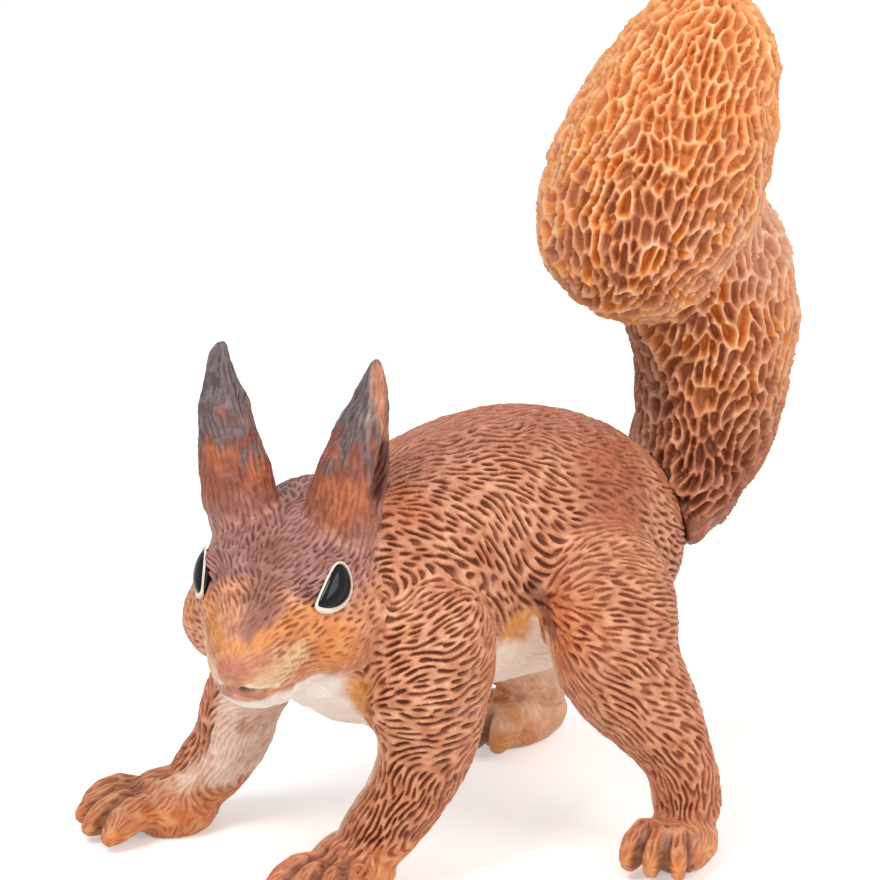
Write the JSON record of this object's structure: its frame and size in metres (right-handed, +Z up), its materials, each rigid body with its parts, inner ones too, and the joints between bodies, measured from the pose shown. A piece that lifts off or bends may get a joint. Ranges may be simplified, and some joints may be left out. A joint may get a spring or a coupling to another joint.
{
  "type": "squirrel figurine",
  "caption": "Solid moulded squirrel figurine standing on its four paws, head turned to its left and bushy tail raised in an S, with sculpted painted fur.",
  "frame": {"origin": "on the ground under the middle of the figure's box", "axes": "+Z up, -Y the way the body faces, +X the animal's left side"},
  "size_m": [0.0444, 0.064, 0.0717],
  "materials": {
    "painted_coat": "hand-painted matte PVC, red-brown with dark wash and pale dry-brushed ridges",
    "painted_tail": "hand-painted matte PVC, orange with brown wash and pale dry-brushed ridges",
    "painted_ear": "hand-painted matte PVC, charcoal tips over red-brown",
    "painted_eye": "gloss black paint"
  },
  "bodies": {
    "root": {"torso": "painted_coat", "head": "painted_coat", "left_ear": "painted_ear", "right_ear": "painted_ear", "left_foreleg": "painted_coat", "right_foreleg": "painted_coat", "left_hind_leg": "painted_coat", "right_hind_leg": "painted_coat", "tail": "painted_tail"}
  },
  "joints": []
}
